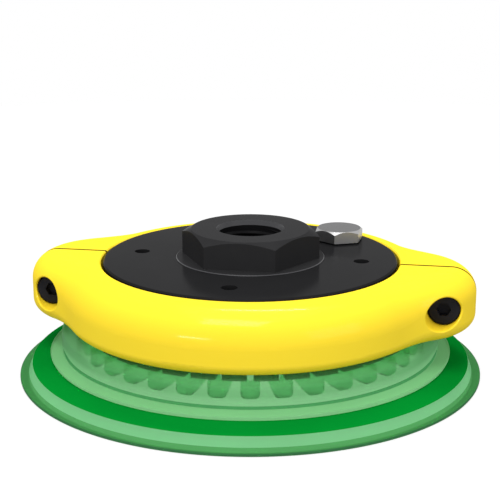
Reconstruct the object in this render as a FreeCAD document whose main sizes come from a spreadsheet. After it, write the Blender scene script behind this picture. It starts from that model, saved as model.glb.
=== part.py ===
import FreeCAD, Part
import math
import os
import Sketcher

# Flat vacuum cup with a clamped base plate: a soft see-through cup, a black plate with a female port,
# and a split clamp ring whose two halves are drawn together by a screw in each lug.
# Millimetres. The origin is the centre of the lip's sealing plane, +Z runs up the port axis,
# the lugs lie along X and the screw heads face -Y.

SIZES = {
    # Cup skirt, from the lip inwards and upwards
    "lip_radius": 75.0,
    "lip_edge": 1.0,
    "lip_land": 2.6,
    "rim_width": 3.2,
    "rim_rise": 0.3,
    "step_inset": 0.7,
    "step_height": 3.2,
    "band_width": 6.3,
    "band_rise": 2.0,
    "cone_width": 4.1,
    "cone_rise": 2.0,
    "crease_depth": 0.6,
    "crease_width": 1.0,
    "wall_inset": 4.9,
    "wall_height": 8.7,
    "skirt_thickness": 2.0,
    "wall_thickness": 2.2,
    # Cup neck, bead and roof, gripped between the clamp and the plate
    "neck_step": 3.2,
    "neck_rise": 1.1,
    "bead_width": 3.4,
    "bead_height": 4.0,
    "roof_thickness": 8.5,
    "bead_grip": 15.0,
    # Friction cleats inside the cup and the slotted ring above them
    "cleat_count": 36,
    "cleat_overhang": 2.0,
    "cleat_length": 10.0,
    "cleat_width": 5.6,
    "cleat_height": 4.5,
    "cleat_root": 1.2,
    "cleat_round": 1.6,
    "ring_gap": 0.2,
    "ring_width": 9.4,
    "ring_drop": 3.3,
    "slot_width": 2.0,
    # Clamp ring
    "clamp_height": 19.0,
    "skirt_drop": 1.0,
    "clamp_wall": 4.0,
    "rim_flat": 0.8,
    "foot_round": 3.2,
    "mouth_chamfer": 0.4,
    "lower_lip": 3.2,
    "lug_inset": 12.0,
    "lug_radius": 24.6,
    "lug_round": 8.0,
    "lug_foot_round": 4.6,
    "blend_radius": 40.0,
    "seam_gap": 0.8,
    "grip_clearance": 0.2,
    # Clamp screws and nuts
    "screw_reach": 14.8,
    "screw_rise": 9.0,
    "screw_radius": 3.0,
    "screw_length": 25.0,
    "screw_seat": 9.6,
    "screw_hole_radius": 3.3,
    "head_radius": 5.0,
    "head_height": 4.0,
    "head_chamfer": 0.5,
    "head_clearance": 0.2,
    "head_rim_round": 0.4,
    "key_width": 4.0,
    "key_depth": 2.3,
    "nut_width": 10.0,
    "nut_height": 5.0,
    "nut_clearance": 0.15,
    "thread_clearance": 0.05,
    # Base plate
    "flange_width": 8.6,
    "plate_gap": 0.8,
    "plate_thickness": 11.2,
    "plate_chamfer": 0.5,
    "flange_thickness": 4.0,
    "boss_depth": 7.0,
    "tap_margin": 11.4,
    "tap_count": 4,
    "tap_radius": 2.5,
    "tap_depth": 10.0,
    # Port fitting and its seal
    "fitting_height": 9.5,
    "collar_lip": 1.48,
    "collar_height": 0.4,
    "collar_chamfer": 0.25,
    "chamfer_angle": 30.0,
    "hex_crown": 0.97,
    "port_radius": 10.25,
    "port_depth": 15.0,
    "port_mouth_radius": 10.95,
    "port_lead": 1.6,
    "vacuum_bore_radius": 7.0,
    "spigot_radius": 13.2,
    "spigot_length": 12.0,
    "seal_section": 0.9,
    "seal_side_room": 0.3,
    # Hex plug in the side port of the plate
    "plug_angle": 45.0,
    "plug_margin": 10.6,
    "plug_clearance": 5.9,
    "plug_turn_angle": -94.4,
    "plug_width": 14.6,
    "plug_head": 3.9,
    "plug_radius": 4.85,
    "plug_length": 8.0,
    "plug_depth": 9.5,
    "gauge_radius": 2.0,
    "plug_seal_radius": 6.9,
    "plug_seal_height": 0.5,
}

os.makedirs("parts", exist_ok=True)
doc = FreeCAD.newDocument("flat_vacuum_cup")
sheet = doc.addObject("Spreadsheet::Sheet", "sizes")
for row, (alias, value) in enumerate(SIZES.items(), start=1):
    sheet.set(f"A{row}", alias)
    sheet.set(f"B{row}", str(value))
    sheet.setAlias(f"B{row}", alias)
doc.recompute()

# Levels and radii that several pieces share, as expressions of the sheet
RIM_R = "(sizes.lip_radius - sizes.rim_width)"
STEP_R = f"({RIM_R} - sizes.step_inset)"
BAND_R = f"({STEP_R} - sizes.band_width)"
CONE_R = f"({BAND_R} - sizes.cone_width)"
WALL_R = f"({CONE_R} - sizes.wall_inset)"
NECK_R = f"({WALL_R} - sizes.neck_step)"
BEAD_R = f"({NECK_R} + sizes.bead_width)"
CUP_HOLE_R = f"({BEAD_R} - sizes.bead_grip)"
CLAMP_R = f"({BEAD_R} + sizes.clamp_wall)"
LUG_X = f"({CLAMP_R} - sizes.lug_inset)"
SCREW_X = f"({LUG_X} + sizes.screw_reach)"
PLATE_R = f"({BEAD_R} - sizes.flange_width)"
TAP_R = f"({PLATE_R} - sizes.tap_margin)"
PLUG_RING = f"({PLATE_R} - sizes.plug_margin)"
COLLAR_R = f"({PLUG_RING} - sizes.plug_seal_radius - sizes.plug_clearance)"
HEX_WIDTH = f"(2 * ({COLLAR_R} - sizes.collar_lip) * cos(30deg))"
SEAL_R = f"((sizes.spigot_radius + {COLLAR_R}) / 2)"
RIM_Z = "(sizes.lip_edge + sizes.rim_rise)"
STEP_Z = f"({RIM_Z} + sizes.step_height)"
BAND_Z = f"({STEP_Z} + sizes.band_rise)"
CONE_Z = f"({BAND_Z} + sizes.cone_rise)"
WALL_Z = f"({CONE_Z} + sizes.wall_height)"
NECK_Z = f"({WALL_Z} + sizes.neck_rise)"
CLAMP_Z = f"({NECK_Z} - sizes.skirt_drop)"
BEAD_Z = f"({NECK_Z} + sizes.lower_lip)"
SEAT_Z = f"({BEAD_Z} + sizes.bead_height)"
FLANGE_Z = f"({SEAT_Z} + sizes.flange_thickness)"
PLATE_Z = f"({SEAT_Z} + sizes.plate_thickness)"
ROOF_Z = f"({SEAT_Z} - sizes.roof_thickness)"
RING_R = f"({WALL_R} - sizes.wall_thickness - sizes.ring_gap)"
RING_Z = f"({ROOF_Z} - sizes.ring_drop)"
TOP_Z = f"({PLATE_Z} + sizes.fitting_height)"
SCREW_Z = f"({CLAMP_Z} + sizes.screw_rise)"
MOUTH_R = f"({PLATE_R} + sizes.plate_gap)"
CLAMP_ROUND = f"({CLAMP_R} - {MOUTH_R} - sizes.rim_flat)"
BOSS_R = f"({CUP_HOLE_R} - sizes.grip_clearance)"
CONE_SLOPE = "(sizes.cone_rise / sizes.cone_width)"
PLUG_X = f"({PLUG_RING} * cos(sizes.plug_angle * 1deg))"
PLUG_Y = f"({PLUG_RING} * sin(sizes.plug_angle * 1deg))"
PLUG_HOLE_R = "(sizes.plug_radius + sizes.thread_clearance)"
SEAL_DEPTH = "(2 * sizes.seal_section)"
PLUG_SEAT_Z = f"({PLATE_Z} + sizes.plug_seal_height)"


def number(expression):
    return float(sheet.evalExpression(str(expression)))


def bind(feature, **properties):
    for name, expression in properties.items():
        feature.setExpression(name.replace("__", "."), expression)


def new_body(label):
    body = doc.addObject("PartDesign::Body", label)
    body.Label = label
    return body


def origin_feature(body, role):
    return next(item for item in body.Origin.OriginFeatures if item.Role == role)


def new_sketch(body, name, plane, lift=None):
    """Empty sketch on one of the body's own origin planes, lifted off it by an expression."""
    sketch = body.newObject("Sketcher::SketchObject", name)
    sketch.AttachmentSupport = [(origin_feature(body, plane), "")]
    sketch.MapMode = "FlatFace"
    if lift is not None:
        bind(sketch, AttachmentOffset__Base__z=lift)
    return sketch


def fix_point(sketch, geometry, end, x, y):
    """Hold one point of the sketch at two expressions, measured from the sketch's origin."""
    for kind, axis, expression in (("DistanceX", -2, x), ("DistanceY", -1, y)):
        if expression == "0":
            sketch.addConstraint(Sketcher.Constraint("PointOnObject", geometry, end, axis))
            continue
        rule = Sketcher.Constraint(kind, -1, 1, geometry, end, number(expression))
        index = sketch.addConstraint(rule)
        sketch.setExpression(f"Constraints[{index}]", expression)


def fix_radius(sketch, geometry, expression):
    index = sketch.addConstraint(Sketcher.Constraint("Radius", geometry, number(expression)))
    sketch.setExpression(f"Constraints[{index}]", expression)


def outline(body, name, plane, corners, lift=None):
    """Closed outline of straight sides whose corners are pairs of expressions."""
    sketch = new_sketch(body, name, plane, lift)
    points = [FreeCAD.Vector(number(x), number(y), 0) for x, y in corners]
    count = len(points)
    for index in range(count):
        side = Part.LineSegment(points[index], points[(index + 1) % count])
        sketch.addGeometry(side, False)
    for index, (x, y) in enumerate(corners):
        sketch.addConstraint(Sketcher.Constraint("Coincident", index, 2, (index + 1) % count, 1))
        fix_point(sketch, index, 1, x, y)
    return sketch


def circle(body, name, plane, x, y, radius, lift=None):
    sketch = new_sketch(body, name, plane, lift)
    middle = FreeCAD.Vector(number(x), number(y), 0)
    sketch.addGeometry(Part.Circle(middle, FreeCAD.Vector(0, 0, 1), number(radius)), False)
    fix_point(sketch, 0, 3, x, y)
    fix_radius(sketch, 0, radius)
    return sketch


def hexagon(body, name, width, lift, turn="0"):
    """Regular hexagon about the origin of the XY plane, given its width across flats."""
    corners = []
    for index in range(6):
        angle = f"({turn} + {60 * index}) * 1deg"
        reach = f"({width} / 2 / cos(30deg))"
        corners.append((f"{reach} * cos({angle})", f"{reach} * sin({angle})"))
    return outline(body, name, "XY_Plane", corners, lift)


def spin(body, name, kind, sketch):
    """Full turn of a sketch about its vertical axis: PartDesign Revolution or Groove."""
    feature = body.newObject(f"PartDesign::{kind}", name)
    feature.Profile = sketch
    feature.ReferenceAxis = (sketch, ["V_Axis"])
    feature.Angle = 360
    return feature


def extrude(body, name, kind, sketch, length, reverse=False):
    """Straight Pad or Pocket of a sketch; a Pad rises along its normal and a Pocket sinks against it."""
    feature = body.newObject(f"PartDesign::{kind}", name)
    feature.Profile = sketch
    feature.Reversed = reverse
    bind(feature, Length=length)
    return feature


def around(body, name, feature, count):
    """Full polar pattern of a feature about the body's Z axis."""
    pattern = body.newObject("PartDesign::PolarPattern", name)
    pattern.Originals = [feature]
    pattern.Axis = (origin_feature(body, "Z_Axis"), [""])
    pattern.Angle = 360
    bind(pattern, Occurrences=count)
    body.Tip = pattern
    return pattern


# Vacuum cup: one soft moulding, turned section with slots and cleats patterned round it
def cup_section(body):
    ring_inner = f"({RING_R} - sizes.ring_width)"
    inner_step_r = f"({STEP_R} - sizes.step_inset)"
    return outline(body, "cup_section", "XZ_Plane", [
        ("sizes.lip_radius", "0"),
        ("sizes.lip_radius", "sizes.lip_edge"),
        (RIM_R, RIM_Z),
        (STEP_R, STEP_Z),
        (BAND_R, BAND_Z),
        (f"({CONE_R} + sizes.crease_width)", f"({CONE_Z} - sizes.crease_width * {CONE_SLOPE})"),
        (CONE_R, f"({CONE_Z} - sizes.crease_width * {CONE_SLOPE} - sizes.crease_depth)"),
        (CONE_R, CONE_Z),
        (WALL_R, WALL_Z),
        (NECK_R, NECK_Z),
        (NECK_R, BEAD_Z),
        (BEAD_R, BEAD_Z),
        (BEAD_R, SEAT_Z),
        (CUP_HOLE_R, SEAT_Z),
        (CUP_HOLE_R, ROOF_Z),
        (ring_inner, ROOF_Z),
        (ring_inner, RING_Z),
        (RING_R, RING_Z),
        (RING_R, ROOF_Z),
        (f"({WALL_R} - sizes.wall_thickness)", ROOF_Z),
        (f"({CONE_R} - sizes.wall_thickness)", f"({CONE_Z} - sizes.skirt_thickness)"),
        (BAND_R, f"({BAND_Z} - sizes.skirt_thickness)"),
        (inner_step_r, f"({STEP_Z} - sizes.skirt_thickness)"),
        ("(sizes.lip_radius - sizes.lip_land)", "0"),
    ])


def cleat_section(body):
    """Front of one cleat: straight sides and top, two rounded lower corners."""
    start_r = f"({RING_R} + sizes.cleat_overhang - sizes.cleat_length)"
    sketch = new_sketch(body, "cleat_section", "YZ_Plane", start_r)
    half = "(sizes.cleat_width / 2)"
    flat = f"({half} - sizes.cleat_round)"
    top = f"({RING_Z} + sizes.cleat_root)"
    low = f"({RING_Z} - sizes.cleat_height)"
    bend = f"({low} + sizes.cleat_round)"
    sides = (
        (f"-{half}", top, f"-{half}", bend),
        (f"-{flat}", low, flat, low),
        (half, bend, half, top),
        (half, top, f"-{half}", top),
    )
    for x1, y1, x2, y2 in sides:
        start = FreeCAD.Vector(number(x1), number(y1), 0)
        end = FreeCAD.Vector(number(x2), number(y2), 0)
        sketch.addGeometry(Part.LineSegment(start, end), False)
    radius = number("sizes.cleat_round")
    for x, first in ((f"-{flat}", math.pi), (flat, 1.5 * math.pi)):
        middle = FreeCAD.Vector(number(x), number(bend), 0)
        corner = Part.Circle(middle, FreeCAD.Vector(0, 0, 1), radius)
        sketch.addGeometry(Part.ArcOfCircle(corner, first, first + 0.5 * math.pi), False)
    joins = ((0, 2, 4, 1), (4, 2, 1, 1), (1, 2, 5, 1), (5, 2, 2, 1), (2, 2, 3, 1), (3, 2, 0, 1))
    for join in joins:
        sketch.addConstraint(Sketcher.Constraint("Coincident", *join))
    for index, (x1, y1, x2, y2) in enumerate(sides[:3]):
        fix_point(sketch, index, 1, x1, y1)
        fix_point(sketch, index, 2, x2, y2)
    fix_radius(sketch, 4, "sizes.cleat_round")
    fix_radius(sketch, 5, "sizes.cleat_round")
    return sketch


def make_cup():
    body = new_body("vacuum_cup")
    spin(body, "cup_turned", "Revolution", cup_section(body))
    half = "(sizes.slot_width / 2)"
    slot_section = outline(body, "slot_section", "YZ_Plane", [
        (f"-{half}", RING_Z),
        (half, RING_Z),
        (half, ROOF_Z),
        (f"-{half}", ROOF_Z),
    ], RING_R)
    slot = extrude(body, "slot", "Pocket", slot_section, "(sizes.ring_width + sizes.slot_width)")
    around(body, "slots", slot, "sizes.cleat_count")
    cleat = extrude(body, "cleat", "Pad", cleat_section(body), "sizes.cleat_length")
    around(body, "cleats", cleat, "sizes.cleat_count")
    return body


# Base plate: turned disc with a clamping flange, a locating boss, tapped holes and a gauge port
def make_plate():
    body = new_body("base_plate")
    bore = "(sizes.spigot_radius + sizes.thread_clearance)"
    boss_z = f"({SEAT_Z} - sizes.boss_depth)"
    seal_room = "(sizes.seal_section + sizes.seal_side_room)"
    seal_z = f"({PLATE_Z} - {SEAL_DEPTH})"
    section = outline(body, "plate_section", "XZ_Plane", [
        (bore, boss_z),
        (BOSS_R, boss_z),
        (BOSS_R, SEAT_Z),
        (BEAD_R, SEAT_Z),
        (BEAD_R, FLANGE_Z),
        (PLATE_R, FLANGE_Z),
        (PLATE_R, f"({PLATE_Z} - sizes.plate_chamfer)"),
        (f"({PLATE_R} - sizes.plate_chamfer)", PLATE_Z),
        (f"({SEAL_R} + {seal_room})", PLATE_Z),
        (f"({SEAL_R} + {seal_room})", seal_z),
        (f"({SEAL_R} - {seal_room})", seal_z),
        (f"({SEAL_R} - {seal_room})", PLATE_Z),
        (bore, PLATE_Z),
    ])
    spin(body, "plate_turned", "Revolution", section)
    tap = circle(body, "tap_circle", "XY_Plane", TAP_R, "0", "sizes.tap_radius", PLATE_Z)
    tapped = extrude(body, "tapped_hole", "Pocket", tap, "sizes.tap_depth")
    around(body, "tapped_holes", tapped, "sizes.tap_count")
    port = circle(body, "plug_circle", "XY_Plane", PLUG_X, PLUG_Y, PLUG_HOLE_R, PLATE_Z)
    extrude(body, "plug_hole", "Pocket", port, "sizes.plug_depth")
    gauge = circle(body, "gauge_circle", "XY_Plane", PLUG_X, PLUG_Y, "sizes.gauge_radius", PLATE_Z)
    passage = extrude(body, "gauge_passage", "Pocket", gauge, "(sizes.plate_thickness + sizes.boss_depth)")
    body.Tip = passage
    return body


def cut_hex_chamfer(body, name, width, top):
    """Turn the corners of a hexagon's top face down to a circle a little narrower than its flats."""
    crown = f"(sizes.hex_crown * {width} / 2)"
    section = outline(body, f"{name}_section", "XZ_Plane", [
        (crown, top),
        (f"{width}", top),
        (f"{width}", f"({top} - ({width} - {crown}) * tan(sizes.chamfer_angle * 1deg))"),
    ])
    return spin(body, name, "Groove", section)


# Port fitting: hex body with a round collar, a threaded port and a spigot screwed into the plate
def make_fitting():
    body = new_body("port_fitting")
    collar_z = f"({PLATE_Z} + sizes.collar_height)"
    foot_z = f"({PLATE_Z} - sizes.spigot_length)"
    turned = outline(body, "fitting_section", "XZ_Plane", [
        ("0", foot_z),
        ("sizes.spigot_radius", foot_z),
        ("sizes.spigot_radius", PLATE_Z),
        (COLLAR_R, PLATE_Z),
        (COLLAR_R, f"({collar_z} - sizes.collar_chamfer)"),
        (f"({COLLAR_R} - sizes.collar_chamfer)", collar_z),
        ("0", collar_z),
    ])
    spin(body, "fitting_turned", "Revolution", turned)
    flats = hexagon(body, "fitting_flats", HEX_WIDTH, collar_z)
    extrude(body, "fitting_hex", "Pad", flats, "(sizes.fitting_height - sizes.collar_height)")
    cut_hex_chamfer(body, "fitting_chamfer", HEX_WIDTH, TOP_Z)
    floor_z = f"({TOP_Z} - sizes.port_depth)"
    lead_z = f"({TOP_Z} - sizes.port_lead)"
    port = outline(body, "port_section", "XZ_Plane", [
        ("0", foot_z),
        ("sizes.vacuum_bore_radius", foot_z),
        ("sizes.vacuum_bore_radius", floor_z),
        ("sizes.port_radius", floor_z),
        ("sizes.port_radius", lead_z),
        ("sizes.port_mouth_radius", TOP_Z),
        ("0", TOP_Z),
    ])
    spin(body, "port", "Groove", port)
    return body


# Round-section seal in the plate's groove, under the collar of the fitting
def make_fitting_seal():
    body = new_body("fitting_seal")
    middle_z = f"({PLATE_Z} - sizes.seal_section)"
    section = circle(body, "seal_section", "XZ_Plane", SEAL_R, middle_z, "sizes.seal_section")
    spin(body, "seal_ring", "Revolution", section)
    return body


# Hex plug that closes the gauge port, and the flat seal under its head
def place_on_port(body, level):
    turn = FreeCAD.Rotation(FreeCAD.Vector(0, 0, 1), number("sizes.plug_turn_angle"))
    body.Placement = FreeCAD.Placement(FreeCAD.Vector(), turn)
    bind(body, Placement__Base__x=PLUG_X, Placement__Base__y=PLUG_Y, Placement__Base__z=level)
    bind(body, Placement__Rotation__Angle="sizes.plug_turn_angle")


def make_plug():
    body = new_body("port_plug")
    shank = circle(body, "plug_shank_circle", "XY_Plane", "0", "0", "sizes.plug_radius")
    extrude(body, "plug_shank", "Pad", shank, "sizes.plug_length", reverse=True)
    flats = hexagon(body, "plug_flats", "sizes.plug_width", "0")
    extrude(body, "plug_hex", "Pad", flats, "sizes.plug_head")
    cut_hex_chamfer(body, "plug_chamfer", "sizes.plug_width", "sizes.plug_head")
    place_on_port(body, PLUG_SEAT_Z)
    return body


def make_plug_seal():
    body = new_body("plug_seal")
    inner = f"({PLUG_HOLE_R} + sizes.thread_clearance)"
    section = outline(body, "plug_seal_section", "XZ_Plane", [
        (inner, "0"),
        ("sizes.plug_seal_radius", "0"),
        ("sizes.plug_seal_radius", "sizes.plug_seal_height"),
        (inner, "sizes.plug_seal_height"),
    ])
    spin(body, "plug_seal_ring", "Revolution", section)
    place_on_port(body, PLATE_Z)
    return body


# Clamp ring: two moulded halves, each a half ring with half of both lugs
def clamp_plan(body):
    """Plan of one half: ring, lugs and the hollow blends between them, open along the seam."""
    sketch = new_sketch(body, f"{body.Name}_plan", "XY_Plane", CLAMP_Z)
    up = FreeCAD.Vector(0, 0, 1)
    ring = number(CLAMP_R)
    lug = number("sizes.lug_radius")
    lug_x = number(LUG_X)
    blend = number("sizes.blend_radius")
    seam = number("sizes.seam_gap") / 2
    mouth = number(MOUTH_R)
    blend_x = ((ring + blend) ** 2 - (lug + blend) ** 2 + lug_x ** 2) / (2 * lug_x)
    blend_y = math.sqrt((ring + blend) ** 2 - blend_x ** 2)
    to_ring = math.atan2(blend_y, blend_x)
    to_lug = math.atan2(blend_y, blend_x - lug_x)
    lug_end = math.asin(seam / lug)
    mouth_end = math.asin(seam / mouth)

    def arc(x, y, radius, first, last):
        middle = Part.Circle(FreeCAD.Vector(x, y, 0), up, radius)
        return sketch.addGeometry(Part.ArcOfCircle(middle, first, last), False)

    def line(x1, x2):
        ends = (FreeCAD.Vector(x1, -seam, 0), FreeCAD.Vector(x2, -seam, 0))
        return sketch.addGeometry(Part.LineSegment(*ends), False)

    right_lug = arc(lug_x, 0, lug, -to_lug, -lug_end)
    right_blend = arc(blend_x, -blend_y, blend, math.pi - to_lug, math.pi - to_ring)
    outer = arc(0, 0, ring, math.pi + to_ring, 2 * math.pi - to_ring)
    left_blend = arc(-blend_x, -blend_y, blend, to_ring, to_lug)
    left_lug = arc(-lug_x, 0, lug, math.pi + lug_end, math.pi + to_lug)
    inner = arc(0, 0, mouth, math.pi + mouth_end, 2 * math.pi - mouth_end)
    lug_tip = lug_x + lug * math.cos(lug_end)
    inner_tip = mouth * math.cos(mouth_end)
    left_seam = line(-lug_tip, -inner_tip)
    right_seam = line(inner_tip, lug_tip)

    for join in ((right_lug, 1, right_blend, 1), (right_blend, 2, outer, 2),
                 (outer, 1, left_blend, 1), (left_blend, 2, left_lug, 2)):
        sketch.addConstraint(Sketcher.Constraint("Tangent", *join))
    for join in ((left_lug, 1, left_seam, 1), (left_seam, 2, inner, 1),
                 (inner, 2, right_seam, 1), (right_seam, 2, right_lug, 2)):
        sketch.addConstraint(Sketcher.Constraint("Coincident", *join))
    for geometry in (outer, inner):
        sketch.addConstraint(Sketcher.Constraint("Coincident", geometry, 3, -1, 1))
    fix_point(sketch, right_lug, 3, LUG_X, "0")
    fix_point(sketch, left_lug, 3, f"-{LUG_X}", "0")
    fix_radius(sketch, outer, CLAMP_R)
    fix_radius(sketch, inner, MOUTH_R)
    for geometry in (right_lug, left_lug):
        fix_radius(sketch, geometry, "sizes.lug_radius")
    for geometry in (right_blend, left_blend):
        fix_radius(sketch, geometry, "sizes.blend_radius")
    for geometry in (left_seam, right_seam):
        sketch.addConstraint(Sketcher.Constraint("Horizontal", geometry))
        rule = Sketcher.Constraint("DistanceY", -1, 1, geometry, 1, -seam)
        index = sketch.addConstraint(rule)
        sketch.setExpression(f"Constraints[{index}]", "-sizes.seam_gap / 2")
    return sketch


def rounded_edges(shape):
    """Outer edges of a half with their start and end radii, which change between ring and lug."""
    foot_z = number(CLAMP_Z)
    radii_at = {
        foot_z: ("sizes.foot_round", "sizes.lug_foot_round"),
        foot_z + number("sizes.clamp_height"): (CLAMP_ROUND, "sizes.lug_round"),
    }
    ring = number(CLAMP_R)
    outside = number(f"{BEAD_R} + sizes.clamp_wall / 2")

    def azimuth(point):
        return math.atan2(point.y, point.x)

    rounds = []
    for level, (on_ring, on_lug) in radii_at.items():
        backwards = None
        for index, edge in enumerate(shape.Edges, start=1):
            box = edge.BoundBox
            ends = [edge.valueAt(edge.FirstParameter), edge.valueAt(edge.LastParameter)]
            inside = min(math.hypot(point.x, point.y) for point in ends) < outside
            if inside or abs(box.ZMin - level) > 1e-4 or abs(box.ZMax - level) > 1e-4:
                continue
            # The round runs along the whole chain in the direction of its first edge
            if backwards is None:
                backwards = azimuth(ends[0]) > azimuth(ends[1])
            ends.sort(key=azimuth, reverse=backwards)
            reaches = [math.hypot(point.x, point.y) for point in ends]
            radii = [number(on_ring if abs(reach - ring) < 1e-3 else on_lug) for reach in reaches]
            rounds.append((index, *radii))
    return rounds


def make_clamp(label, side):
    """One half of the clamp: side -1 is the front, with screw heads, and 1 the rear, with nuts."""
    body = new_body(f"{label}_blank")
    if side > 0:
        body.Placement = FreeCAD.Placement(FreeCAD.Vector(), FreeCAD.Rotation(FreeCAD.Vector(0, 0, 1), 180))
    extrude(body, f"{label}_pad", "Pad", clamp_plan(body), "sizes.clamp_height")
    lip = f"({NECK_R} + sizes.grip_clearance)"
    grip = f"({BEAD_R} + sizes.grip_clearance)"
    inside = f"({MOUTH_R} - sizes.plate_gap)"
    channel = outline(body, f"{label}_channel_section", "XZ_Plane", [
        (inside, CLAMP_Z),
        (grip, CLAMP_Z),
        (grip, NECK_Z),
        (lip, NECK_Z),
        (lip, BEAD_Z),
        (grip, BEAD_Z),
        (grip, FLANGE_Z),
        (inside, FLANGE_Z),
    ])
    spin(body, f"{label}_channel", "Groove", channel)
    top = f"({CLAMP_Z} + sizes.clamp_height)"
    mouth = outline(body, f"{label}_mouth_section", "XZ_Plane", [
        (inside, top),
        (f"({MOUTH_R} + sizes.mouth_chamfer)", top),
        (MOUTH_R, f"({top} - sizes.mouth_chamfer)"),
        (inside, f"({top} - sizes.mouth_chamfer)"),
    ])
    spin(body, f"{label}_mouth", "Groove", mouth)
    doc.recompute()
    rounded = doc.addObject("Part::Fillet", f"{label}_rounded")
    rounded.Base = body
    rounded.Edges = rounded_edges(body.Shape)
    bores = doc.addObject("Part::MultiFuse", f"{label}_bores")
    bores.Shapes = [tool for x in ("", "-") for tool in clamp_bores(label, side, f"{x}{SCREW_X}")]
    half = doc.addObject("Part::Cut", f"{label}_bored")
    half.Base = rounded
    half.Tool = bores
    if side < 0:
        doc.recompute()
        softened = doc.addObject("Part::Fillet", f"{label}_softened")
        softened.Base = half
        softened.Edges = pocket_rims(half.Shape)
        half = softened
    half.Label = label
    return half


def pocket_rims(shape):
    """Rims of the screw head pockets on the outside of the front half, with their small round."""
    radius = number("sizes.head_radius + sizes.head_clearance")
    screw_x = number(SCREW_X)
    screw_z = number(SCREW_Z)
    seat_y = -number("sizes.screw_seat")
    soft = number("sizes.head_rim_round")
    rims = []
    for index, edge in enumerate(shape.Edges, start=1):
        ends = [edge.valueAt(edge.FirstParameter), edge.valueAt(edge.LastParameter)]
        outside = all(point.y < seat_y - soft for point in (*ends, edge.CenterOfMass))
        offsets = [math.hypot(abs(point.x) - screw_x, point.z - screw_z) - radius for point in ends]
        if outside and max(map(abs, offsets)) < 1e-3:
            rims.append((index, soft, soft))
    return rims


def clamp_bores(label, side, x):
    """Screw hole and head or nut pocket of one lug, along Y from the seam outwards."""
    out = FreeCAD.Rotation(FreeCAD.Vector(1, 0, 0), -90 * side)
    hole = doc.addObject("Part::Cylinder", f"{label}_hole")
    bind(hole, Radius="sizes.screw_hole_radius", Height="sizes.lug_radius")
    if side < 0:
        pocket = doc.addObject("Part::Cylinder", f"{label}_pocket")
        bind(pocket, Radius="(sizes.head_radius + sizes.head_clearance)", Height="sizes.lug_radius")
    else:
        pocket = doc.addObject("Part::Prism", f"{label}_pocket")
        pocket.Polygon = 6
        bind(pocket, Circumradius="(sizes.nut_width / 2 + sizes.nut_clearance) / cos(30deg)")
        bind(pocket, Height="sizes.lug_radius")
    for tool, start in ((hole, "0"), (pocket, f"{side} * sizes.screw_seat")):
        tool.Placement = FreeCAD.Placement(FreeCAD.Vector(), out)
        bind(tool, Placement__Base__x=x, Placement__Base__y=start, Placement__Base__z=SCREW_Z)
    return hole, pocket


# Socket-head screws and hex nuts that draw the two halves together
def make_screw(label, x):
    body = new_body(label)
    rim = "(sizes.head_radius - sizes.head_chamfer)"
    section = outline(body, f"{label}_section", "XZ_Plane", [
        ("0", "-sizes.screw_length"),
        ("(sizes.screw_radius - sizes.head_chamfer)", "-sizes.screw_length"),
        ("sizes.screw_radius", "(sizes.head_chamfer - sizes.screw_length)"),
        ("sizes.screw_radius", "0"),
        ("sizes.head_radius", "0"),
        ("sizes.head_radius", "(sizes.head_height - sizes.head_chamfer)"),
        (rim, "sizes.head_height"),
        ("0", "sizes.head_height"),
    ])
    spin(body, f"{label}_turned", "Revolution", section)
    socket = hexagon(body, f"{label}_socket_flats", "sizes.key_width", "sizes.head_height")
    extrude(body, f"{label}_socket", "Pocket", socket, "sizes.key_depth")
    body.Placement = FreeCAD.Placement(FreeCAD.Vector(), FreeCAD.Rotation(FreeCAD.Vector(1, 0, 0), 90))
    bind(body, Placement__Base__x=x, Placement__Base__y="-sizes.screw_seat", Placement__Base__z=SCREW_Z)
    return body


def make_nut(label, x):
    body = new_body(label)
    flats = hexagon(body, f"{label}_flats", "sizes.nut_width", "0")
    extrude(body, f"{label}_hex", "Pad", flats, "sizes.nut_height")
    cut_hex_chamfer(body, f"{label}_chamfer", "sizes.nut_width", "sizes.nut_height")
    thread = circle(body, f"{label}_thread_circle", "XY_Plane", "0", "0",
                    "(sizes.screw_radius + sizes.thread_clearance)", "sizes.nut_height")
    extrude(body, f"{label}_thread", "Pocket", thread, "sizes.nut_height")
    body.Placement = FreeCAD.Placement(FreeCAD.Vector(), FreeCAD.Rotation(FreeCAD.Vector(1, 0, 0), -90))
    bind(body, Placement__Base__x=x, Placement__Base__y="sizes.screw_seat", Placement__Base__z=SCREW_Z)
    return body


pieces = [
    make_cup(),
    make_plate(),
    make_fitting(),
    make_fitting_seal(),
    make_plug(),
    make_plug_seal(),
    make_clamp("clamp_front", -1),
    make_clamp("clamp_rear", 1),
]
for end, x in (("right", SCREW_X), ("left", f"-{SCREW_X}")):
    pieces.append(make_screw(f"clamp_screw_{end}", x))
    pieces.append(make_nut(f"clamp_nut_{end}", x))
doc.recompute()

failed = [item.Name for item in doc.Objects if {"Invalid", "Error"} & set(item.State)]
for piece in pieces:
    if piece.Shape.isNull() or not piece.Shape.isValid() or len(piece.Shape.Solids) != 1:
        failed.append(piece.Label)
if failed:
    raise RuntimeError(f"not built: {failed}")
for piece in pieces:
    piece.Shape.exportStep(f"parts/{piece.Label}.step")
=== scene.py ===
import bmesh
import bpy
import math
from mathutils import Matrix, Vector


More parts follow.
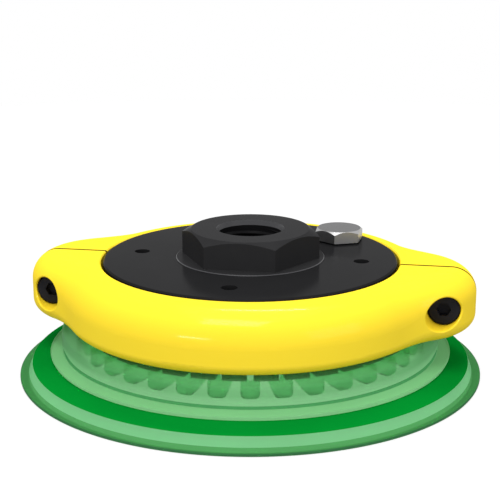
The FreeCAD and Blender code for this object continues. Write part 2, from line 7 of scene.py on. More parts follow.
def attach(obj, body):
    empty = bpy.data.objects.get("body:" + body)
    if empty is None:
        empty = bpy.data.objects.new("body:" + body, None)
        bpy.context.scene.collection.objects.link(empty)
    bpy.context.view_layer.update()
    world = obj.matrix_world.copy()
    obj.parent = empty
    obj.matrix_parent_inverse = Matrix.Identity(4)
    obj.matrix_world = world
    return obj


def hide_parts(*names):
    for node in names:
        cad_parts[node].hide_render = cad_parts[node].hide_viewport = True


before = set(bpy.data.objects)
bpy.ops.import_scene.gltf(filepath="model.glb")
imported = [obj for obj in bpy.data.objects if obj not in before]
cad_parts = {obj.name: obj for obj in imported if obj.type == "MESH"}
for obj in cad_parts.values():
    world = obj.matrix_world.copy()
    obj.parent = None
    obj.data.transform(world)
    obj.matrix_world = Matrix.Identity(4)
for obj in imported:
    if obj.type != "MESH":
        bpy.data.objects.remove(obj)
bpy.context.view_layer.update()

# Vacuum cup: one soft moulding of clear green polyurethane with a solid green sealing band.
# The skirt is turned from a rounded section, and the cleats and the slotted ring repeat round its inside.
MM = 0.001
CUP_TURN_STEPS = 240
# Radius, height, corner round and the zone of the surface that leaves this corner, in millimetres
CUP_SECTION = [
    (75.0, 0.0, 0.25, "edge"),
    (75.0, 1.0, 0.35, "lip"),
    (72.1, 1.5, 0.4, "step"),
    (71.0, 4.5, 0.3, "band"),
    (64.6, 6.4, 0.1, "rim"),
    (65.4, 7.8, 0.5, "shelf"),
    (61.2, 8.4, 0.1, "clear"),
    (60.9, 8.0, 0.1, "crease"),
    (60.75, 9.15, 0.1, "foot"),
    (61.2, 10.2, 0.3, "fade"),
    (61.22, 12.2, 0.05, "clear"),
    (61.2, 14.8, 1.5, "clear"),
    (56.0, 17.2, 0.8, "clear"),
    (52.6, 18.3, 0.2, "clear"),
    (52.6, 21.5, 0.2, "clear"),
    (56.0, 21.5, 0.4, "clear"),
    (56.0, 25.5, 0.4, "clear"),
    (41.0, 25.5, 0.4, "clear"),
    (41.0, 17.0, 0.4, "clear"),
    (53.4, 17.0, 0.4, "clear"),
    (55.9, 15.6, 0.6, "clear"),
    (55.9, 7.8, 0.8, "clear"),
    (64.8, 4.5, 0.6, "clear"),
    (70.4, 2.5, 0.6, "clear"),
    (72.4, 0.0, 0.25, "lip"),
]


def linear(hex_colour, alpha=1.0):
    """Linear colour of an sRGB hex value."""
    parts = [int(hex_colour[i:i + 2], 16) / 255 for i in (1, 3, 5)]
    return [c / 12.92 if c <= 0.04045 else ((c + 0.055) / 1.055) ** 2.4 for c in parts] + [alpha]


def add_node(tree, kind, inputs=None, **settings):
    """Add a node with its settings, values and links: an input given as a socket is linked."""
    node = tree.nodes.new(kind)
    for name, value in settings.items():
        setattr(node, name, value)
    for key, value in (inputs or {}).items():
        if isinstance(value, bpy.types.NodeSocket):
            tree.links.new(value, node.inputs[key])
        else:
            node.inputs[key].default_value = value
    return node


def new_finish(name, tints, drift_mm, gloss, grain_mm, lift_mm, **sockets):
    """Principled material whose colour drifts between two tints and whose grain moves gloss and height."""
    finish = bpy.data.materials.new(name)
    finish.use_nodes = True
    tree = finish.node_tree
    shader = tree.nodes["Principled BSDF"]
    for key, value in sockets.items():
        shader.inputs[key.replace("_", " ")].default_value = value
    where = add_node(tree, "ShaderNodeTexCoord")
    drift = add_node(tree, "ShaderNodeTexNoise", {
        "Vector": where.outputs["Object"], "Scale": 1 / (drift_mm * MM), "Detail": 2.0})
    # A colour mix takes its share at socket 0 and its two colours at 6 and 7, and gives the result at 2
    tint = add_node(tree, "ShaderNodeMix", {
        0: drift.outputs[0], 6: linear(tints[0]), 7: linear(tints[1])}, data_type="RGBA")
    grain = add_node(tree, "ShaderNodeTexNoise", {
        "Vector": where.outputs["Object"], "Scale": 1 / (grain_mm * MM), "Detail": 3.0})
    rough = add_node(tree, "ShaderNodeMapRange", {
        "Value": grain.outputs[0], "To Min": gloss[0], "To Max": gloss[1]})
    relief = add_node(tree, "ShaderNodeBump", {
        "Height": grain.outputs[0], "Strength": 1.0, "Distance": lift_mm * MM})
    tree.links.new(tint.outputs[2], shader.inputs["Base Color"])
    tree.links.new(rough.outputs[0], shader.inputs["Roughness"])
    tree.links.new(relief.outputs[0], shader.inputs["Normal"])
    return finish


def place(mesh, name):
    """Link a mesh into the scene as an object at the origin."""
    piece = bpy.data.objects.new(name, mesh)
    bpy.context.scene.collection.objects.link(piece)
    return piece


def rounded_section(corners, arc_steps=4, side_share=0.45):
    """Closed (r, z, zone) section: each corner becomes an arc, which takes up side_share of a side at most."""
    points = []
    count = len(corners)
    for i, (r, z, radius, zone) in enumerate(corners):
        here = Vector((r, z))
        before = Vector(corners[i - 1][:2]) - here
        after = Vector(corners[(i + 1) % count][:2]) - here
        half = before.angle(after) / 2
        reach = min(radius / math.tan(half), side_share * before.length, side_share * after.length)
        round_r = reach * math.tan(half)
        inwards = (before.normalized() + after.normalized()).normalized()
        middle = here + inwards * (round_r / math.sin(half))
        start = here + before.normalized() * reach - middle
        sweep = start.angle_signed(here + after.normalized() * reach - middle)
        for step in range(arc_steps + 1):
            turned = Matrix.Rotation(-sweep * step / arc_steps, 2) @ start
            past_middle = step >= arc_steps // 2
            points.append((*(middle + turned), zone if past_middle else corners[i - 1][3]))
    return points


def skin(loops, loop_finishes, finishes, capped=False):
    """Mesh over loops of points in millimetres: each loop joins the next, and the last the first or caps."""
    bm = bmesh.new()
    names = list(finishes)
    rows = [[bm.verts.new(Vector(point) * MM) for point in loop] for loop in loops]
    for i in range(len(rows) - 1 if capped else len(rows)):
        low, high = rows[i], rows[(i + 1) % len(rows)]
        for k in range(len(low)):
            n = (k + 1) % len(low)
            face = bm.faces.new((low[k], low[n], high[n], high[k]))
            face.material_index = names.index(loop_finishes[i])
    if capped:
        for row, finish in ((rows[0], loop_finishes[0]), (rows[-1], loop_finishes[-1])):
            bm.faces.new(row).material_index = names.index(finish)
    for face in bm.faces:
        face.smooth = True
    bmesh.ops.recalc_face_normals(bm, faces=bm.faces)
    mesh = bpy.data.meshes.new("skin")
    bm.to_mesh(mesh)
    bm.free()
    for finish in finishes.values():
        mesh.materials.append(finish)
    return mesh


def turn(section, steps, finishes):
    """Mesh of a closed (r, z, finish) section turned once round Z."""
    angles = [2 * math.pi * k / steps for k in range(steps)]
    loops = [[(r * math.cos(a), r * math.sin(a), z) for a in angles] for r, z, finish in section]
    return skin(loops, [finish for r, z, finish in section], finishes)


# Clear soft polyurethane: a little milky, light passes straight through and long or stacked paths look darker.
# Each zone of the skirt has a tint and a clearness of its own.
# The wall is palest at its foot, above the crease, and fades upwards to the clear tint: painted light, lit low down
# and shaded towards the clamp.
# The strip at the shelf's edge is painted paler: painted light that cancels the shade under its overhang.
MOULDED = {"gloss": (0.3, 0.42), "lift_mm": 0.01, "Transmission_Weight": 0.86, "IOR": 1.03}
ZONE_TINTS = {
    "clear": ("#91D697", 0.82),
    # Painted light: the foot and fade zones are painted paler than the clear wall
    "foot": ("#C0FFC4", 0.96),
    "fade": ("#C0FFC4", 0.96),
    "shelf": ("#84CC89", 0.5),
    # Painted light: this strip is painted paler to cancel the shade under the shelf's overhang
    "rim": ("#A8EDAB", 0.85),
    "step": ("#88D799", 0.7),
    "lip": ("#4A9954", 0.7),
    "edge": ("#447A55", 0.7),
    "crease": ("#459E5A", 0.8),
    "band": ("#037E28", 0.0),
}
# Colour that light takes on inside the moulding, and how fast, per metre
DEPTH_TINT = "#78B490"
DEPTH_DENSITY = 55.0
clear_skirt = new_finish("moulded clear green polyurethane", ("#F2F2F2", "#FFFFFF"),
                         drift_mm=20, grain_mm=1.5, **MOULDED)
skirt_nodes = clear_skirt.node_tree
skirt_shader = skirt_nodes.nodes["Principled BSDF"]
zone_colour = add_node(skirt_nodes, "ShaderNodeAttribute", attribute_name="zone tint")
zone_tint = add_node(skirt_nodes, "ShaderNodeMix", {
    0: 1.0, 6: skirt_shader.inputs["Base Color"].links[0].from_socket, 7: zone_colour.outputs["Color"]},
    data_type="RGBA", blend_type="MULTIPLY")
skirt_nodes.links.new(zone_tint.outputs[2], skirt_shader.inputs["Base Color"])
skirt_nodes.links.new(zone_colour.outputs["Alpha"], skirt_shader.inputs["Transmission Weight"])
depth = add_node(skirt_nodes, "ShaderNodeVolumeAbsorption", {"Color": linear(DEPTH_TINT), "Density": DEPTH_DENSITY})
skirt_nodes.links.new(depth.outputs[0], skirt_nodes.nodes["Material Output"].inputs["Volume"])
# Solid pigmented polyurethane: flat green with no shine, the dark stripe on the skirt
solid_band = new_finish("solid green polyurethane band", ("#037926", "#03822A"),
                        drift_mm=18, gloss=(0.6, 0.75), grain_mm=1.0, lift_mm=0.01, Specular_IOR_Level=0.0)
skirt_mesh = turn(rounded_section(CUP_SECTION), CUP_TURN_STEPS, dict.fromkeys(ZONE_TINTS, clear_skirt))
zone_names = list(ZONE_TINTS)
zones = [zone_names[face.material_index] for face in skirt_mesh.polygons]
skirt_mesh.materials.clear()
skirt_mesh.materials.append(clear_skirt)
skirt_mesh.materials.append(solid_band)
for face, zone in zip(skirt_mesh.polygons, zones):
    face.material_index = int(zone == "band")
tints = skirt_mesh.attributes.new("zone tint", "FLOAT_COLOR", "CORNER")
# Painted light: a fade face's upper corners take the clear tint, so the paler foot fades upwards
for face, zone in zip(skirt_mesh.polygons, zones):
    middle_z = face.center.z
    for corner in face.loop_indices:
        upper = skirt_mesh.vertices[skirt_mesh.loops[corner].vertex_index].co.z > middle_z
        tints.data[corner].color = linear(*ZONE_TINTS["clear" if zone == "fade" and upper else zone])
skirt = place(skirt_mesh, "vacuum_cup_skirt")

# Cleats, grooves and ring in millimetres: radii, heights and widths
CLEAT_COUNT = 36
CLEAT = {"inner": 45.4, "outer": 55.4, "width": 5.6, "low": 9.2, "top": 13.9, "round": 1.6, "edge": 0.3}
CLEAT_GROOVE = {"width": 2.0, "depth": 3.6, "end": 54.9}
SLOTTED_RING = {"inner": 44.0, "outer": 53.4, "low": 13.7, "top": 17.0, "slot": 2.0}
# The cleats' ends and the ring are painted darker than the cleats' sides: painted shade, for the shade on the
# cleats' ends and the clamp's shade over the ring, seen through the wall
cleat_sides = new_finish("moulded polyurethane cleat sides", ("#A4EEBE", "#ACF6C6"),
                         drift_mm=12, grain_mm=1.2, **MOULDED)
cleat_ends_painted_shade = new_finish("moulded polyurethane cleat ends with painted shade", ("#88DAA5", "#90E2AD"),
                        drift_mm=12, grain_mm=1.2, **MOULDED)
ring_painted_shade = new_finish("moulded polyurethane ring with painted shade", ("#2A5240", "#325A48"),
                        drift_mm=12, grain_mm=1.2, **MOULDED)


def cleat_mesh(arc_steps=4, sharp_degrees=50, end_facing=0.9):
    """One cleat on the +X side: rounded lower corners, and a groove under its slot that runs out outwards."""
    half, bend, top = CLEAT["width"] / 2, CLEAT["round"], CLEAT["top"]
    side_y, floor_z = CLEAT_GROOVE["width"] / 2, top - CLEAT_GROOVE["depth"]
    groove = [(-side_y, top), (-side_y, floor_z), (side_y, floor_z), (side_y, top)]
    section = [(half, top)]
    for side, first in ((1, 0.0), (-1, -math.pi / 2)):
        for step in range(arc_steps + 1):
            a = first - step * math.pi / 2 / arc_steps
            section.append((side * (half - bend) + bend * math.cos(a), CLEAT["low"] + bend + bend * math.sin(a)))
    section.append((-half, top))
    bm = bmesh.new()
    inner = [bm.verts.new(Vector((CLEAT["inner"], y, z)) * MM) for y, z in section]
    outer = [bm.verts.new(Vector((CLEAT["outer"], y, z)) * MM) for y, z in section]
    mouth = [bm.verts.new(Vector((CLEAT["inner"], y, z)) * MM) for y, z in groove]
    left, right = (bm.verts.new(Vector((CLEAT_GROOVE["end"], y, top)) * MM) for y in (-side_y, side_y))
    rims = [bm.faces.new(mouth + inner), bm.faces.new(outer)]
    for i in range(len(section) - 1):
        bm.faces.new((inner[i], inner[i + 1], outer[i + 1], outer[i]))
    bm.faces.new((inner[-1], mouth[0], left, right, mouth[3], inner[0], outer[0], outer[-1]))
    bm.faces.new((mouth[1], mouth[2], right, left))
    bm.faces.new((mouth[0], mouth[1], left))
    bm.faces.new((mouth[2], mouth[3], right))
    edges = [edge for face in rims for edge in face.edges]
    bmesh.ops.bevel(bm, geom=edges, offset=CLEAT["edge"] * MM, segments=2, affect="EDGES", profile=0.5)
    for face in bm.faces:
        face.smooth = True
    for edge in bm.edges:
        edge.smooth = edge.calc_face_angle() < math.radians(sharp_degrees)
    bmesh.ops.recalc_face_normals(bm, faces=bm.faces)
    # The end faces take the darker finish: painted shade
    for face in bm.faces:
        face.material_index = int(abs(face.normal.x) > end_facing)
    mesh = bpy.data.meshes.new("cleat")
    bm.to_mesh(mesh)
    bm.free()
    mesh.materials.append(cleat_sides)
    mesh.materials.append(cleat_ends_painted_shade)
    return mesh


def ring_block_mesh(steps=6):
    """One block of the slotted ring, between the slots at 0 and one pitch round."""
    inner, outer, low, top = (SLOTTED_RING[key] for key in ("inner", "outer", "low", "top"))
    pitch = 2 * math.pi / CLEAT_COUNT
    bm = bmesh.new()
    walls = []
    for step in range(steps + 1):
        wall = []
        for r, z in ((inner, low), (outer, low), (outer, top), (inner, top)):
            edge = math.asin(SLOTTED_RING["slot"] / 2 / r)
            a = edge + (pitch - 2 * edge) * step / steps
            wall.append(bm.verts.new((r * MM * math.cos(a), r * MM * math.sin(a), z * MM)))
        walls.append(wall)
    for first, second in zip(walls, walls[1:]):
        for i in range(4):
            bm.faces.new((first[i], first[(i + 1) % 4], second[(i + 1) % 4], second[i]))
    bm.faces.new(walls[0])
    bm.faces.new(walls[-1])
    bmesh.ops.recalc_face_normals(bm, faces=bm.faces)
    mesh = bpy.data.meshes.new("ring_block")
    bm.to_mesh(mesh)
    bm.free()
    mesh.materials.append(ring_painted_shade)
    return mesh


def repeat_round(name, mesh, count):
    """Geometry Nodes: copies of a mesh turned evenly round Z, made into one plain mesh."""
    source = place(mesh, f"{name}_one")
    tree = bpy.data.node_groups.new(f"{name} round the axis", "GeometryNodeTree")
    one = tree.interface.new_socket("One piece", in_out="INPUT", socket_type="NodeSocketObject")
    number = tree.interface.new_socket("Count", in_out="INPUT", socket_type="NodeSocketInt")
    tree.interface.new_socket("Geometry", in_out="OUTPUT", socket_type="NodeSocketGeometry")
    given = add_node(tree, "NodeGroupInput")
    index = add_node(tree, "GeometryNodeInputIndex")
    pitch = add_node(tree, "ShaderNodeMath", {0: 2 * math.pi, 1: given.outputs["Count"]}, operation="DIVIDE")
    angle = add_node(tree, "ShaderNodeMath", {0: index.outputs[0], 1: pitch.outputs[0]}, operation="MULTIPLY")
    spin = add_node(tree, "ShaderNodeCombineXYZ", {"Z": angle.outputs[0]})
    points = add_node(tree, "GeometryNodePoints", {"Count": given.outputs["Count"]})
    piece = add_node(tree, "GeometryNodeObjectInfo", {"Object": given.outputs["One piece"]})
    copies = add_node(tree, "GeometryNodeInstanceOnPoints", {
        "Points": points.outputs[0], "Instance": piece.outputs["Geometry"], "Rotation": spin.outputs[0]})
    real = add_node(tree, "GeometryNodeRealizeInstances", {"Geometry": copies.outputs[0]})
    add_node(tree, "NodeGroupOutput", {"Geometry": real.outputs[0]})
    holder = place(bpy.data.meshes.new(name), name)
    pattern = holder.modifiers.new("round the axis", "NODES")
    pattern.node_group = tree
    pattern[one.identifier] = source
    pattern[number.identifier] = count
    shown = holder.evaluated_get(bpy.context.evaluated_depsgraph_get())
    result = bpy.data.meshes.new_from_object(shown)
    holder.modifiers.remove(pattern)
    holder.data = result
    bpy.data.objects.remove(source)
    return holder


cleats = repeat_round("vacuum_cup_cleats", cleat_mesh(), CLEAT_COUNT)
slotted_ring = repeat_round("vacuum_cup_slotted_ring", ring_block_mesh(), CLEAT_COUNT)
for piece in (skirt, cleats, slotted_ring):
    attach(piece, "root")
    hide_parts("vacuum_cup")

# Base plate: turned from black anodised aluminium, with tapped holes and a port for the plug.
# The clamp holds its hidden flange down on the cup's bead.


def add_turning_marks(finish, centre_mm, pitch_mm, lift_mm):
    """Fine rings round a vertical axis, as a lathe leaves them, added to the finish's own relief."""
    tree = finish.node_tree
    shader = tree.nodes["Principled BSDF"]
    where = add_node(tree, "ShaderNodeTexCoord")
    middle = [c * MM for c in centre_mm] + [0.0]
    from_axis = add_node(tree, "ShaderNodeVectorMath", {
        0: where.outputs["Object"], 1: middle}, operation="SUBTRACT")
    flat = add_node(tree, "ShaderNodeVectorMath", {0: from_axis.outputs[0], 1: (1, 1, 0)}, operation="MULTIPLY")
    radius = add_node(tree, "ShaderNodeVectorMath", {0: flat.outputs[0]}, operation="LENGTH")
    count = add_node(tree, "ShaderNodeMath", {
        0: radius.outputs["Value"], 1: 1 / (pitch_mm * MM)}, operation="MULTIPLY")
    rings = add_node(tree, "ShaderNodeTexNoise", {
        "W": count.outputs[0], "Scale": 1.0, "Detail": 1.0}, noise_dimensions="1D")
    relief = add_node(tree, "ShaderNodeBump", {
        "Height": rings.outputs[0], "Strength": 1.0, "Distance": lift_mm * MM,
        "Normal": shader.inputs["Normal"].links[0].from_socket})
    tree.links.new(relief.outputs[0], shader.inputs["Normal"])


# Black anodised aluminium: deep grey-black with a soft mirror at low angles and faint turning rings,
# which are drawn a little coarser than a real feed so that they show
anodised = new_finish("black anodised turned aluminium", ("#1D1D1E", "#212122"),
                      drift_mm=14, gloss=(0.12, 0.2), grain_mm=0.6, lift_mm=0.0005, Specular_IOR_Level=0.004)
add_turning_marks(anodised, centre_mm=(0, 0), pitch_mm=0.5, lift_mm=0.0006)
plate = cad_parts["base_plate"]
plate.data.materials.clear()
plate.data.materials.append(anodised)

# Port fitting: hex bar of the same aluminium turned to a round collar, with a countersunk threaded port.
# It is screwed into the plate over a round seal.
HEX_COLUMNS = 144
FITTING = {"across": 39.0, "crown": 18.93, "top": 46.2, "chamfer": 30}
FITTING_EDGE_MM = 0.07
PORT_THREAD = {"wall": 10.25, "crest": 9.6, "pitch": 1.814, "low": 31.4, "high": 44.5, "steps": 72}
# Half widths of the thread's ridge at root and crest, in pitches, its root's depth in the wall, in millimetres,
# its least share of the full form and the steps in which it grows from that to all of it
RIDGE = {"root": 0.44, "crest": 0.07, "sunk": 0.02, "least": 0.03, "run_out": 24}
# Radius and height in millimetres and the finish up to the next ring.
# A ring with no radius follows the hex, and one with no height follows its chamfer.
FITTING_RINGS = [
    (13.2, 24.7, "body"),
    (13.2, 36.7, "body"),
    (24.0, 36.7, "body"),
    (24.0, 36.85, "burnished_and_highlight"),
    (23.75, 37.1, "body"),
    (None, 37.1, "body"),
    (None, None, "body"),
    (FITTING["crown"], FITTING["top"], "body"),
    (10.95, FITTING["top"], "burnished_and_highlight"),
    (PORT_THREAD["wall"], 44.6, "bore"),
    (PORT_THREAD["wall"], 31.2, "bore"),
    (7.0, 31.2, "bore"),
    (7.0, 24.7, "body"),
]


def hex_rings(rings, across, crown, top, chamfer, turned=0.0, centre=(0, 0)):
    """Loops of a hex body: a ring with no radius follows the hex, one with no height its chamfer."""
    loops = []
    slope = math.tan(math.radians(chamfer))
    for radius, height, finish in rings:
        loop = []
        for k in range(HEX_COLUMNS):
            a = 2 * math.pi * k / HEX_COLUMNS
            corner_r = across / 2 / math.cos(a % (math.pi / 3) - math.pi / 6)
            r = corner_r if radius is None else radius
            z = top - (corner_r - crown) * slope if height is None else height
            b = a + math.radians(turned)
            loop.append((centre[0] + r * math.cos(b), centre[1] + r * math.sin(b), z))
        loops.append(loop)
    return loops


def soften_edges(piece, width_mm, sharp_degrees=22):
    """Bevel modifier that breaks every sharp edge by a small round."""
    bevel = piece.modifiers.new("broken edges", "BEVEL")
    bevel.width = width_mm * MM
    bevel.segments = 2
    bevel.limit_method = "ANGLE"
    bevel.angle_limit = math.radians(sharp_degrees)
    bevel.harden_normals = True


def thread_ridge(finish, wall, crest, pitch, low, high, steps, sharp_degrees=30):
    """Closed helical ridge on the wall of a threaded port, which runs out to nothing at both ends."""
    root_r = wall + RIDGE["sunk"]
    count = round((high - low) / pitch * steps) - steps
    loops = []
    for k in range(count + 1):
        a = 2 * math.pi * k / steps
        z = low + pitch * (0.5 + k / steps)
        full = max(RIDGE["least"], min(1, k / RIDGE["run_out"], (count - k) / RIDGE["run_out"]))
        tip_r = wall - (wall - crest) * full
        loop = []
        for r, rise in ((root_r, -RIDGE["root"]), (tip_r, -RIDGE["crest"]),
                        (tip_r, RIDGE["crest"]), (root_r, RIDGE["root"])):
            loop.append((r * math.cos(a), r * math.sin(a), z + rise * pitch * full))
        loops.append(loop)
    mesh = skin(loops, ["thread"] * len(loops), {"thread": finish}, capped=True)
    mesh.set_sharp_from_angle(angle=math.radians(sharp_degrees))
    return mesh


# Anodised hex bar: a shade greyer than the plate, satin, with fine drawn grain
# Burnished anodise: the collar's edge and the countersink, rubbed by tools, are greyer and catch the light; their
# paler tone is partly a painted highlight
# Anodised bore: the inside of the port is painted deep black, painted shade in the recess
fitting_finishes = {
    "body": new_finish("black anodised hex bar", ("#282829", "#2D2D2E"),
                       drift_mm=10, gloss=(0.16, 0.26), grain_mm=0.5, lift_mm=0.0005, Specular_IOR_Level=0.002),
    "burnished_and_highlight": new_finish("burnished anodised edge with painted highlight", ("#3E3E40", "#444446"),
                            drift_mm=6, gloss=(0.25, 0.38), grain_mm=0.4, lift_mm=0.0005, Specular_IOR_Level=0.1),
    "bore": new_finish("black anodised bore with painted shade", ("#121213", "#161617"),
                       drift_mm=6, gloss=(0.3, 0.4), grain_mm=0.4, lift_mm=0.0005, Specular_IOR_Level=0.02),
}
fitting_loops = hex_rings(FITTING_RINGS, **FITTING)
fitting = place(skin(fitting_loops, [ring[2] for ring in FITTING_RINGS], fitting_finishes), "port_fitting_body")
soften_edges(fitting, FITTING_EDGE_MM)
port_thread = place(thread_ridge(fitting_finishes["bore"], **PORT_THREAD), "port_fitting_thread")
for piece in (fitting, port_thread):
    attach(piece, "root")
    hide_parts("port_fitting")

# Seals: matt black rubber, the round one under the fitting and the flat one under the plug.
# Seal rubber: no shine, with a fine moulded grain and paler dust
seal_rubber = new_finish("moulded black seal rubber", ("#0B0B0B", "#121212"),
                         drift_mm=3, gloss=(0.7, 0.85), grain_mm=0.3, lift_mm=0.003, Specular_IOR_Level=0.1)
for name in ("fitting_seal", "plug_seal"):
    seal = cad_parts[name]
    seal.data.materials.clear()
    seal.data.materials.append(seal_rubber)

# Plug: hex steel turned on its top and thread, plain and bright, that closes the gauge port.
# Its chamfered head is drawn down on the flat seal.
PLUG = {"across": 14.6, "crown": 7.25, "top": 41.1, "chamfer": 40, "turned": -94.4, "centre": (26.02, 26.02)}
PLUG_EDGE_MM = 0.1
PLUG_RINGS = [
    (4.45, 29.2, "turned"),
    (4.85, 29.6, "turned"),
    (4.85, 37.2, "turned"),
    (None, 37.2, "drawn"),
    (None, None, "drawn"),
    (PLUG["crown"], PLUG["top"], "turned"),
]
# Turned steel: darker grey mirror softened by fine rings on the top face; its darker tone is a painted dark
# reflection
# Drawn steel: the flats and the chamfer keep the bar's paler, rougher skin
plug_finishes = {
    "turned": new_finish("turned plain steel with painted dark reflection", ("#3C3C3E", "#464648"),
                         drift_mm=5, gloss=(0.24, 0.34), grain_mm=0.4, lift_mm=0.0005, Metallic=1.0),
    "drawn": new_finish("drawn hex steel", ("#A4A4A4", "#AEAEAE"),
                        drift_mm=4, gloss=(0.34, 0.42), grain_mm=0.3, lift_mm=0.001, Metallic=1.0),
}
add_turning_marks(plug_finishes["turned"], centre_mm=PLUG["centre"], pitch_mm=0.35, lift_mm=0.0008)
plug_loops = hex_rings(PLUG_RINGS, **PLUG)
plug_mesh = skin(plug_loops, [ring[2] for ring in PLUG_RINGS], plug_finishes, capped=True)
plug = place(plug_mesh, "port_plug_body")
soften_edges(plug, PLUG_EDGE_MM)
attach(plug, "root")
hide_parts("port_plug")

# Clamp ring: two moulded halves of glossy yellow plastic that meet at a seam through both lugs.
# Glossy moulded plastic: bright, even yellow with a faint orange peel that softens the lamps' reflections
clamp_plastic = new_finish("moulded glossy yellow plastic", ("#FBD92E", "#FBDD32"),
                           drift_mm=30, gloss=(0.3, 0.4), grain_mm=2.5, lift_mm=0.002,
                           Specular_IOR_Level=0.0, Coat_Weight=0.036, Coat_Roughness=0.12, Coat_IOR=3.0)
# Painted shade darkens the two parting faces inside the seam, 0.4 mm from the middle, and the edges beside them,
# for the shade in the narrow gap
SEAM_MM = (0.5, 0.62)
SEAM_SHADE = "#4A3A0C"
plastic_nodes = clamp_plastic.node_tree
plastic_shader = plastic_nodes.nodes["Principled BSDF"]
where = add_node(plastic_nodes, "ShaderNodeTexCoord")
sides = add_node(plastic_nodes, "ShaderNodeSeparateXYZ", {0: where.outputs["Object"]})
from_seam = add_node(plastic_nodes, "ShaderNodeMath", {0: sides.outputs["Y"]}, operation="ABSOLUTE")
unshaded_share = add_node(plastic_nodes, "ShaderNodeMapRange", {
    "Value": from_seam.outputs[0], "From Min": SEAM_MM[0] * MM, "From Max": SEAM_MM[1] * MM})
# Painted shade: the seam's faces and edges take the dark colour
seam_shaded = add_node(plastic_nodes, "ShaderNodeMix", {
    0: unshaded_share.outputs[0], 6: linear(SEAM_SHADE), 7: plastic_shader.inputs["Base Color"].links[0].from_socket},
    data_type="RGBA")
plastic_nodes.links.new(seam_shaded.outputs[2], plastic_shader.inputs["Base Color"])
for name in ("clamp_front", "clamp_rear"):
    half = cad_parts[name]
    half.data.materials.clear()
    half.data.materials.append(clamp_plastic)

# Screws and nuts: black oxide steel, sunk in the lugs of the clamp.
# Black oxide: dark satin, a little blue, with a thin bloom that varies over a few millimetres
black_oxide = new_finish("black oxide steel", ("#1F1F24", "#25252A"),
                         drift_mm=3, gloss=(0.38, 0.52), grain_mm=0.4, lift_mm=0.001, Specular_IOR_Level=0.05)
for name in ("clamp_screw_right", "clamp_screw_left", "clamp_nut_right", "clamp_nut_left"):
    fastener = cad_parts[name]
    fastener.data.materials.clear()
    fastener.data.materials.append(black_oxide)

# Studio: a round white paper floor that keeps a faint shadow, a white surround and soft lamps.
# The camera and the glossy and clear pieces see the paper as white, and its bounce stays plain.
FLOOR_RADIUS = 0.6
FLOOR_STEPS = 96
FLOOR_GAP = 0.0002
floor_mesh = bpy.data.meshes.new("floor")
floor_rim = [2 * math.pi * k / FLOOR_STEPS for k in range(FLOOR_STEPS)]
floor_mesh.from_pydata([(FLOOR_RADIUS * math.cos(a), FLOOR_RADIUS * math.sin(a), 0) for a in floor_rim],
                       [], [tuple(range(FLOOR_STEPS))])
floor = place(floor_mesh, "floor")
floor.location.z = -FLOOR_GAP


def add_seen_rays(tree):
    """Socket that is 1 for rays from the camera, from gloss and through clear pieces."""
    path = add_node(tree, "ShaderNodeLightPath")
    seen = add_node(tree, "ShaderNodeMath", {
        0: path.outputs["Is Camera Ray"], 1: path.outputs["Is Glossy Ray"]}, operation="MAXIMUM")
    return add_node(tree, "ShaderNodeMath", {
        0: seen.outputs[0], 1: path.outputs["Is Transmission Ray"]}, operation="MAXIMUM").outputs[0]


# White paper: matt, and where it is seen most of its white is its own light, so that shadows on it stay faint
PAPER_GLOW_SHARE = 0.86
PAPER_TONES = {"bounced": "#A0A0A0", "seen": "#F8F8F8"}
paper = bpy.data.materials.new("white paper floor")
paper.use_nodes = True
paper.node_tree.nodes.clear()
seen = add_seen_rays(paper.node_tree)
share = add_node(paper.node_tree, "ShaderNodeMath", {0: seen, 1: PAPER_GLOW_SHARE}, operation="MULTIPLY")
tone = add_node(paper.node_tree, "ShaderNodeMix", {
    0: seen, 6: linear(PAPER_TONES["bounced"]), 7: linear(PAPER_TONES["seen"])}, data_type="RGBA")
matt = add_node(paper.node_tree, "ShaderNodeBsdfDiffuse", {"Color": tone.outputs[2]})
glow = add_node(paper.node_tree, "ShaderNodeEmission", {"Color": linear("#FFFFFF"), "Strength": 1.0})
mixed = add_node(paper.node_tree, "ShaderNodeMixShader", {
    0: share.outputs[0], 1: matt.outputs[0], 2: glow.outputs[0]})
add_node(paper.node_tree, "ShaderNodeOutputMaterial", {"Surface": mixed.outputs[0]})
floor_mesh.materials.append(paper)

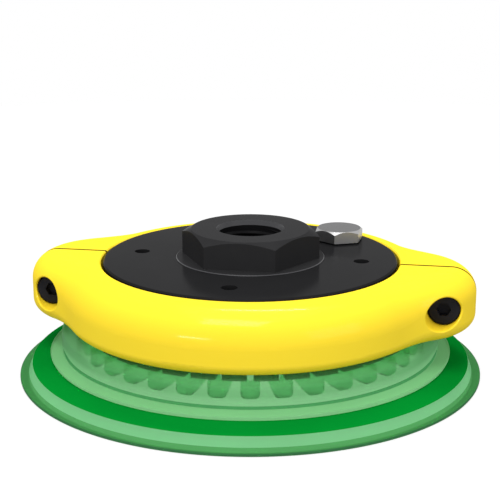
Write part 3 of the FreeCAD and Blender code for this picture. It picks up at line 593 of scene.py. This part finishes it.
SURROUND_LEVELS = {"bounced": 0.64, "seen": 1.0}
surround = bpy.data.worlds.new("white surround")
bpy.context.scene.world = surround
surround.use_nodes = True
surround.node_tree.nodes.clear()
level = add_node(surround.node_tree, "ShaderNodeMapRange", {
    "Value": add_seen_rays(surround.node_tree),
    "To Min": SURROUND_LEVELS["bounced"], "To Max": SURROUND_LEVELS["seen"]})
sky = add_node(surround.node_tree, "ShaderNodeBackground", {
    "Color": linear("#FFFFFF"), "Strength": level.outputs[0]})
add_node(surround.node_tree, "ShaderNodeOutputWorld", {"Surface": sky.outputs[0]})

LAMP_TARGET = Vector((0, 0, 0.03))


def soft_lamp(name, place_at, width, height, watts):
    """Soft box that faces the cup, in metres and watts."""
    lamp = bpy.data.lights.new(name, "AREA")
    lamp.shape = "RECTANGLE"
    lamp.size = width
    lamp.size_y = height
    lamp.energy = watts
    box = bpy.data.objects.new(name, lamp)
    bpy.context.scene.collection.objects.link(box)
    box.location = place_at
    box.rotation_euler = (LAMP_TARGET - Vector(place_at)).to_track_quat("-Z", "Y").to_euler()


soft_lamp("soft box above", place_at=(0.0, 0.1, 1.03), width=0.8, height=0.8, watts=1.6)
soft_lamp("strip box behind", place_at=(0.0, 0.37, 0.96), width=0.4, height=0.03, watts=2.6)
soft_lamp("soft box in front", place_at=(-0.05, -0.45, 0.94), width=0.5, height=0.34, watts=5.6)
soft_lamp("low strip at the front left", place_at=(-0.37, -0.9, 0.24), width=0.3, height=0.02, watts=1.3)
soft_lamp("soft box at the right", place_at=(0.74, -0.42, 0.3), width=0.5, height=0.4, watts=1.1)

# Camera: the photograph's own viewpoint, found from the cup's and plate's circles.
# It looks down by its pitch and stands to the right by its turn, in degrees.
CAMERA_PITCH = 15.006
CAMERA_TURN = 10
lens = bpy.data.cameras.new("camera")
lens.sensor_fit = "HORIZONTAL"
lens.sensor_width = 36.0
lens.lens = 91.24
lens.shift_x = -0.0005
lens.clip_start = 0.01
camera = bpy.data.objects.new("camera", lens)
bpy.context.scene.collection.objects.link(camera)
camera.location = (0.06876, -0.38995, 0.14491)
camera.rotation_euler = (math.radians(90 - CAMERA_PITCH), 0, math.radians(CAMERA_TURN))
bpy.context.scene.camera = camera
bpy.context.scene.view_settings.view_transform = "Standard"
